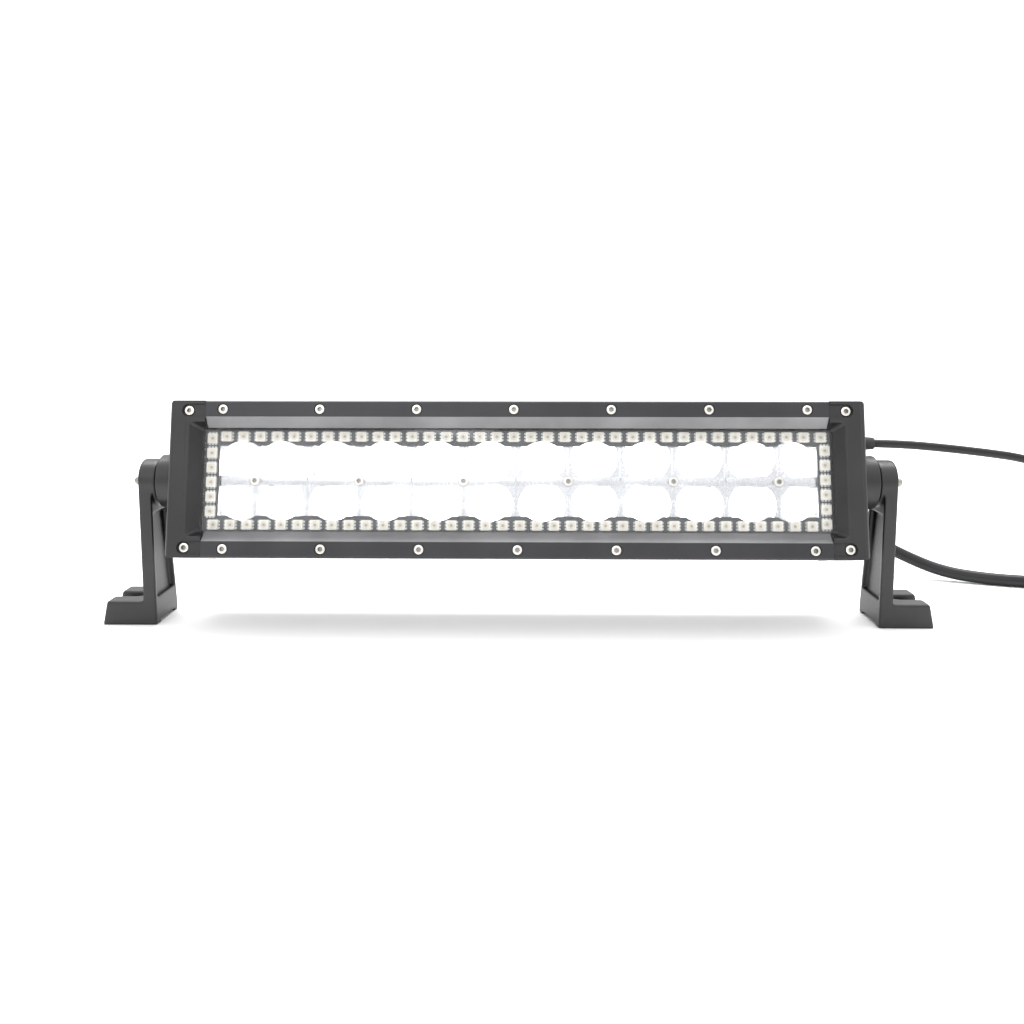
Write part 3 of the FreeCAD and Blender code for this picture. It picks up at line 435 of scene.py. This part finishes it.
def is_slope(polygon):
    """Whether a face of a rail is the slope that leads down to the window."""
    face = UNLEAN @ polygon.center
    between = SLOPE_FROM < abs(face.z) < SLOPE_TO
    return between and face.y < WINDOW_DEPTH and abs(polygon.normal.x) < 0.5


for place in ("top", "bottom"):
    rail = softened("front_rail_" + place, "window_rail_" + place, rail_coat,
                    rail_edges)
    # The slope faces take the second material: painted light from the LEDs
    rail.data.materials.append(slope_painted_light)
    for polygon in rail.data.polygons:
        polygon.material_index = 1 if is_slope(polygon) else 0
for side in ("left", "right"):
    softened("bezel_end_" + side, "window_end_" + side, cast_coat, bezel_edges)
    softened("end_cap_" + side, "cast_cap_" + side, cast_coat, cap_edges)
softened("housing_extrusion", "finned_housing", rail_coat, housing_edges)

# %% [markdown]
# ## Socket screws
# Every visible screw is a small stainless socket screw: a rounded head with a hexagonal
# socket. One is shaped from a disc. The disc's inset is pulled to a hexagon, inset a hair and
# pushed in. The disc's rim is extruded down into the head's wall and the shank, and the top
# edge is bevelled. The inside of the socket gets a darker steel, painted shade.

# %% One screw, then every screw
def around(vert):
    """The angle of a vertex about the Z axis."""
    return math.atan2(vert.co.y, vert.co.x)


def screw_bmesh(head_radius, head_height, socket_radius, socket_depth, shank_radius, shank_length):
    """A socket screw in millimetres, head up, with the top of its head at the origin."""
    bm = bmesh.new()
    sides = 24
    bmesh.ops.create_circle(bm, cap_ends=True, segments=sides, radius=head_radius)
    top = bm.faces[:][0]
    if top.normal.z < 0:
        top.normal_flip()
    bmesh.ops.inset_region(bm, faces=[top], thickness=head_radius - socket_radius * 1.12,
                           use_boundary=True, use_even_offset=True)
    rim = [edge for edge in bm.edges if edge.is_boundary]
    for vert in top.verts:
        turn = around(vert)
        into = (turn % math.radians(60)) - math.radians(30)
        reach = socket_radius * math.cos(math.radians(30)) / math.cos(into)
        vert.co.x = reach * math.cos(turn)
        vert.co.y = reach * math.sin(turn)
    bmesh.ops.inset_individual(bm, faces=[top], thickness=0.02, depth=0.0)
    bmesh.ops.translate(bm, verts=top.verts, vec=(0, 0, -socket_depth))
    wall = rim
    for radius, drop in ((head_radius, head_height), (shank_radius, 0), (shank_radius, shank_length)):
        grown = bmesh.ops.extrude_edge_only(bm, edges=wall)["geom"]
        verts = [item for item in grown if isinstance(item, bmesh.types.BMVert)]
        wall = [item for item in grown if isinstance(item, bmesh.types.BMEdge)]
        for vert in verts:
            turn = around(vert)
            vert.co = (radius * math.cos(turn), radius * math.sin(turn), vert.co.z - drop)
    bmesh.ops.contextual_create(bm, geom=wall)
    bmesh.ops.recalc_face_normals(bm, faces=bm.faces)
    top_rim = [edge for edge in bm.edges
               if all(abs(end.co.z) < 1e-6 and abs(end.co.xy.length - head_radius) < 1e-4
                      for end in edge.verts)]
    bmesh.ops.bevel(bm, geom=top_rim, offset=0.45, offset_type="OFFSET", affect="EDGES",
                    segments=3, profile=0.5, material=-1, clamp_overlap=True)
    # The faces inside the socket take the second, darker steel: painted shade in the socket
    for face in bm.faces:
        deep = face.calc_center_median()
        inside = deep.xy.length < socket_radius and -socket_depth - 0.01 < deep.z < -0.05
        face.material_index = 1 if inside else 0
    return bm


def scattered(one, places):
    """One bmesh with a copy of another at each place, and each copy turned by its own matrix."""
    mesh = bpy.data.meshes.new("one")
    one.to_mesh(mesh)
    one.free()
    many = bmesh.new()
    for place in places:
        before = len(many.verts)
        many.from_mesh(mesh)
        many.verts.ensure_lookup_table()
        bmesh.ops.transform(many, matrix=place, verts=many.verts[before:])
    bpy.data.meshes.remove(mesh)
    return many


TOWARDS_FACE = Matrix.Rotation(math.radians(90), 4, "X")


def screws(name, node, places, turns, **sizes):
    """A set of equal screws on the head, in the frame of the face."""
    one = screw_bmesh(**sizes)
    spots = [LEAN @ Matrix.Translation(place) @ turn for place, turn in zip(places, turns)]
    piece = finished(name, scattered(one, spots), [steel, socket_shade_and_dark_steel], "head", [node])
    print(name, "has", len(places), "screws")
    return piece


def facing(count):
    """A different turn of the socket for each screw of a set that faces forward."""
    return [TOWARDS_FACE @ Matrix.Rotation(math.radians(37 * number % 60), 4, "Z")
            for number in range(count)]


SMALL = dict(head_radius=2.45, head_height=2.4, socket_radius=1.3, socket_depth=1.4,
             shank_radius=1.45)
RAIL_PITCH = 48.0  # from one rail screw to the next, mm
RAIL_SHIFT = 1.0  # the two rows of rail screws stand off the middle by this, opposite ways
RAIL_RISE = 34.5
CORNER_ACROSS = 162.0
CORNER_DEPTH = 0.6
CORNER_RISE = 33.9
CUP_PITCH = 26.2  # from one reflector cup to the next
for place, sign in (("top", 1), ("bottom", -1)):
    spots = [(number * RAIL_PITCH - sign * RAIL_SHIFT, 0.0, sign * RAIL_RISE)
             for number in range(-3, 4)]
    screws("rail_socket_screws_" + place, "rail_screws_" + place, spots, facing(7),
           shank_length=13.2, **SMALL)
corner_spots = [(x * CORNER_ACROSS, CORNER_DEPTH, z * CORNER_RISE)
                for x in (-1, 1) for z in (1, -1)]
screws("corner_socket_screws", "corner_screws", corner_spots, facing(4), shank_length=11.0, **SMALL)
middle_spots = [(number * CUP_PITCH, 11.5, 0.0) for number in (-5, -3, -1, 1, 3, 5)]
screws("reflector_socket_screws", "reflector_screws", middle_spots, facing(6), head_radius=2.6,
       head_height=2.0, socket_radius=1.3, socket_depth=1.2, shank_radius=1.2, shank_length=23.9)
for side, sign in (("left", -1), ("right", 1)):
    side_spots = [(sign * 166.0, depth, rise) for depth, rise in
                  ((18.5, 34.2), (18.5, -34.2), (36.2, 28.0), (36.2, -28.0))]
    outward = Matrix.Rotation(math.radians(sign * 90), 4, "Y")
    screws("cap_socket_screws_" + side, "cap_screws_" + side, side_spots, [outward] * 4,
           head_radius=2.75, head_height=3.0, socket_radius=1.4, socket_depth=1.6,
           shank_radius=1.45, shank_length=21.9)

# %% [markdown]
# ## The ring of small LEDs
# Round the window runs a ring of 84 square LEDs, 5 mm on a side. Each has a round well of
# clear resin with dark chips in the middle, and three tinned legs on two opposite sides.
# One LED is a disc whose rim is pulled out to a square, and the ring holds copies of it. In
# the rows the legs point along the bar, and in the short columns they point up and down.

# %% One small LED, then the ring
def ring_led():
    """A square LED in millimetres: top at the origin facing up, legs along X."""
    bm = bmesh.new()
    sides = 16
    bmesh.ops.create_circle(bm, cap_ends=True, segments=sides, radius=1.95)
    well = bm.faces[:][0]
    if well.normal.z < 0:
        well.normal_flip()
    wall = list(well.edges)
    for half, drop in ((2.42, 0.0), (2.5, 0.12), (2.5, 1.48)):
        grown = bmesh.ops.extrude_edge_only(bm, edges=wall)["geom"]
        verts = [item for item in grown if isinstance(item, bmesh.types.BMVert)]
        wall = [item for item in grown if isinstance(item, bmesh.types.BMEdge)]
        for vert in verts:
            turn = around(vert)
            reach = half / max(abs(math.cos(turn)), abs(math.sin(turn)))
            vert.co = (reach * math.cos(turn), reach * math.sin(turn), vert.co.z - drop)
    for face in bm.faces:
        face.material_index = 0
    bmesh.ops.inset_region(bm, faces=[well], thickness=0.12, depth=-0.3)
    bmesh.ops.inset_region(bm, faces=[well], thickness=0.95, depth=0.0)
    for face in bm.faces:
        if face.calc_center_median().xy.length < 1.8 and face.calc_center_median().z > -0.35:
            face.material_index = 1
    bmesh.ops.inset_region(bm, faces=[well], thickness=0.1, depth=0.02)
    well.material_index = 2
    bmesh.ops.recalc_face_normals(bm, faces=bm.faces)
    for way in (-1, 1):
        for number in (-1, 0, 1):
            leg = bmesh.ops.create_cube(bm, size=1.0)["verts"]
            bmesh.ops.scale(bm, verts=leg, vec=(0.8, 0.85, 0.6))
            bmesh.ops.translate(bm, verts=leg, vec=(way * 2.88, number * 1.6, -1.2))
            for face in {face for vert in leg for face in vert.link_faces}:
                face.material_index = 3
    return bm


ROW_COUNT = 36
ROW_PITCH = 8.5
ROW_SHIFT = 2.7  # the top row stands to the right by this, and the bottom row to the left
ROW_RISE = 22.2
ROW_HALF = (ROW_COUNT - 1) / 2 * ROW_PITCH
COLUMN_COUNT = 6
COLUMN_PITCH = 7.35
COLUMN_ACROSS = 153.2
COLUMN_TOP = 21.2
BOARD_SHIFT = 0.5  # the board's middle is right of the bar's
LED_TOP_DEPTH = 10.6
spots = []
for turn in (1, -1):
    for number in range(ROW_COUNT):
        across = turn * (ROW_SHIFT - ROW_HALF + number * ROW_PITCH) + BOARD_SHIFT
        spots.append((across, LED_TOP_DEPTH, turn * ROW_RISE, 0))
    for number in range(COLUMN_COUNT):
        rise = turn * (COLUMN_TOP - number * COLUMN_PITCH)
        spots.append((-turn * COLUMN_ACROSS + BOARD_SHIFT, LED_TOP_DEPTH, rise, 90))
led_places = [LEAN @ Matrix.Translation(spot[:3]) @ TOWARDS_FACE
              @ Matrix.Rotation(math.radians(spot[3]), 4, "Z") for spot in spots]
ring = finished("ring_leds", scattered(ring_led(), led_places),
                [led_white, led_resin, led_dies, tin], "head", ["halo_leds"])
print("the ring has", len(spots), "LEDs and", len(ring.data.polygons), "faces")

# %% [markdown]
# ## Reflector cups
# Behind the ring sits one chromed moulding with 24 parabolic cups. A parabola's section is
# drawn point by point from its formula, spun into a closed plug, and 24 plugs are taken out
# of the block in one boolean. A wide rib runs between the two rows, where the screws sit, and
# a narrow one stands between each pair of cups. The ribs and the flat front get a darker copy
# of the chrome, painted shade.

# %% Cut the cups
CUP_ROW = 11.8  # from the middle to a row of cups
CUPS_IN_ROW = 12
CUP_FRONT = 13.5
CUP_THROAT_DEPTH = 30.7
REFLECTOR_HALF = 157.3
REFLECTOR_RISE = 24.8
REFLECTOR_BACK = 30.6
cup_spots = [((number - (CUPS_IN_ROW - 1) / 2) * CUP_PITCH, 0.0, sign * CUP_ROW)
             for number in range(CUPS_IN_ROW) for sign in (1, -1)]


def cup_plug(mouth, throat, front, back):
    """A closed plug with a parabolic side, its axis along the depth."""
    bm = bmesh.new()
    section = [bm.verts.new((0, back, 0))]
    steps = 9
    for step in range(steps + 1):
        share = step / steps
        radius = throat + (mouth - throat) * share
        depth = back - (back - front) * (radius ** 2 - throat ** 2) / (mouth ** 2 - throat ** 2)
        section.append(bm.verts.new((radius, depth, 0)))
    section.append(bm.verts.new((mouth, front - 3, 0)))
    section.append(bm.verts.new((0, front - 3, 0)))
    edges = [bm.edges.new(pair) for pair in zip(section, section[1:])]
    bmesh.ops.spin(bm, geom=section + edges, cent=(0, 0, 0), axis=(0, 1, 0), angle=math.tau,
                   steps=40, use_merge=True, use_duplicate=False)
    bmesh.ops.remove_doubles(bm, verts=bm.verts, dist=0.0005)
    bmesh.ops.recalc_face_normals(bm, faces=bm.faces)
    return bm


def hidden_mesh(name, bm):
    """An object used only to cut another, removed once the cut is made."""
    mesh = bpy.data.meshes.new(name)
    bm.to_mesh(mesh)
    bm.free()
    made = bpy.data.objects.new(name, mesh)
    bpy.context.scene.collection.objects.link(made)
    return made


plugs = hidden_mesh("cup_plugs", scattered(cup_plug(11.8, 3.3, CUP_FRONT, CUP_THROAT_DEPTH),
                                           [Matrix.Translation(spot) for spot in cup_spots]))
block = bmesh.new()
bmesh.ops.create_cube(block, size=1.0)
block_depth = REFLECTOR_BACK - CUP_FRONT
bmesh.ops.scale(block, verts=block.verts,
                vec=(2 * REFLECTOR_HALF, block_depth, 2 * REFLECTOR_RISE))
bmesh.ops.translate(block, verts=block.verts, vec=(0, CUP_FRONT + block_depth / 2, 0))
blank = hidden_mesh("cup_blank", block)
taking = blank.modifiers.new("cups", "BOOLEAN")
taking.operation = "DIFFERENCE"
taking.object = plugs
taking.use_self = True
taking.solver = "EXACT"
cut_mesh = bpy.data.meshes.new_from_object(blank.evaluated_get(bpy.context.evaluated_depsgraph_get()))
cups = bmesh.new()
cups.from_mesh(cut_mesh)
# The flat front face takes the darker chrome: painted shade
for face in cups.faces:
    at_front = face.calc_center_median().y < CUP_FRONT + 0.1 and abs(face.normal.y) > 0.9
    face.material_index = 1 if at_front else 0

RIB_FRONT = 13.4
RIB_DEPTH = 3.0
RIBS = [(0, 2 * 156.0, 5.2)]  # where across the bar, how wide, how high
RIBS += [(number * CUP_PITCH, 2.2, 2 * 24.0) for number in range(-5, 6)]
for across, wide, high in RIBS:
    rib = bmesh.ops.create_cube(cups, size=1.0)["verts"]
    bmesh.ops.scale(cups, verts=rib, vec=(wide, RIB_DEPTH, high))
    bmesh.ops.translate(cups, verts=rib, vec=(across, RIB_FRONT + RIB_DEPTH / 2, 0))
    corners = {edge for vert in rib for edge in vert.link_edges
               if all(end.co.y < RIB_FRONT + 0.1 for end in edge.verts)}
    # Every rib face takes the darker chrome: painted shade
    for face in {face for vert in rib for face in vert.link_faces}:
        face.material_index = 1
    bmesh.ops.bevel(cups, geom=list(corners), offset=0.7, offset_type="OFFSET", affect="EDGES",
                    segments=2, profile=0.5, material=-1)
bmesh.ops.transform(cups, matrix=LEAN, verts=cups.verts)
bpy.data.objects.remove(plugs)
bpy.data.objects.remove(blank)
reflector = finished("chromed_cups", cups, [chrome, shaded_rib_chrome], "head", ["reflector"],
                     flat_faces=False)
print("the reflector has", len(reflector.data.polygons), "faces")

# %% [markdown]
# ## Parts that keep their model shape
# The cover, the boards, the gaskets and the small LEDs' bigger brothers have the right shape
# already, so they only get a finish. The power gland, the vent and the pivot hardware also get
# soft edges.

# %% Finishes for the parts that stay
STAYS = {
    "lens": cover, "white_leds": lit, "halo_board": board_black, "led_board": board_white,
    "controller_board": board_black, "controller_parts": moulded, "thermal_pad": heat_grey,
    "lens_gasket": rubber, "cap_gasket_left": gasket_pale, "cap_gasket_right": gasket_pale,
    "friction_washer_left": rubber, "friction_washer_right": rubber,
    "main_plug_pins": brass, "halo_plug_pins": brass, "halo_grommet": rubber,
    "main_strain_relief": rubber, "main_plug_boot": rubber, "halo_plug_boot": rubber,
    "main_plug": moulded, "halo_plug": moulded,
}
for name, material in STAYS.items():
    mesh = nodes[name].data
    mesh.materials.clear()
    mesh.materials.append(material)


def fine_edges(at, face, edge):
    return CRISP


SOFTENED = {
    "pivot_bolt_left": (socket_shade_and_dark_steel, "stainless"), "pivot_bolt_right": (socket_shade_and_dark_steel, "stainless"),
    "pivot_washer_left": (steel, "stainless"), "pivot_washer_right": (steel, "stainless"),
    "main_gland": (moulded, "black_plastic"), "vent_plug": (moulded, "black_plastic"),
}
for name, (material, slot) in SOFTENED.items():
    softened(name, "soft_" + name, material, fine_edges)

# %% [markdown]
# ## Table and light
# The bar stands on a white table in a white room. The room is brighter above than at the
# horizon, which models the black shapes, and the camera itself sees it plain white. A long
# soft box above and behind lights the tops and the slopes, and a small one fills the front.

# %% Table, world and lamps
table_bmesh = bmesh.new()
bmesh.ops.create_grid(table_bmesh, x_segments=1, y_segments=1, size=12.0)
table_mesh = bpy.data.meshes.new("table")
table_bmesh.to_mesh(table_mesh)
table_bmesh.free()
table = bpy.data.objects.new("table", table_mesh)
table_white = grained("table_white", (0.95, 0.95, 0.95), (0.96, 0.96, 0.96), (0.8, 0.85), 60, 0.0001)
table_mesh.materials.append(table_white)
bpy.context.scene.collection.objects.link(table)

world = bpy.data.worlds.new("white_room")
world.use_nodes = True
room = world.node_tree
room_light = room.nodes["Background"]
room_light.inputs["Strength"].default_value = 1.12
toward = room.nodes.new("ShaderNodeTexCoord")
split = room.nodes.new("ShaderNodeSeparateXYZ")
room.links.new(toward.outputs["Generated"], split.inputs["Vector"])
sky = room.nodes.new("ShaderNodeValToRGB")
sky.color_ramp.elements[0].position = 0.0
sky.color_ramp.elements[0].color = (0.98, 0.98, 0.98, 1)
sky.color_ramp.elements[1].position = 0.75
sky.color_ramp.elements[1].color = (1.75, 1.75, 1.75, 1)
room.links.new(split.outputs["Z"], sky.inputs["Fac"])
seen = room.nodes.new("ShaderNodeLightPath")
shown = room.nodes.new("ShaderNodeMix")
shown.data_type = "RGBA"
shown.inputs["B"].default_value = (1.0, 1.0, 1.0, 1)
room.links.new(seen.outputs["Is Camera Ray"], shown.inputs["Factor"])
room.links.new(sky.outputs["Color"], shown.inputs["A"])
room.links.new(shown.outputs["Result"], room_light.inputs["Color"])
bpy.context.scene.world = world
bpy.context.scene.view_settings.view_transform = "Standard"


def softbox(name, place, aim, width, height, power):
    """A rectangular soft lamp that points at a spot."""
    lamp = bpy.data.lights.new(name, "AREA")
    lamp.shape = "RECTANGLE"
    lamp.size = width
    lamp.size_y = height
    lamp.energy = power
    made = bpy.data.objects.new(name, lamp)
    made.location = place
    made.rotation_euler = (Vector(aim) - Vector(place)).to_track_quat("-Z", "Y").to_euler()
    bpy.context.scene.collection.objects.link(made)
    return made


softbox("overhead_box", (0.0, 0.45, 1.25), (0, 0, 0.08), 1.5, 0.45, 22.0)
softbox("front_box", (-0.5, -1.6, 1.2), (0, 0, 0.05), 1.0, 0.8, 4.0)
print("stage and lamps are in place")
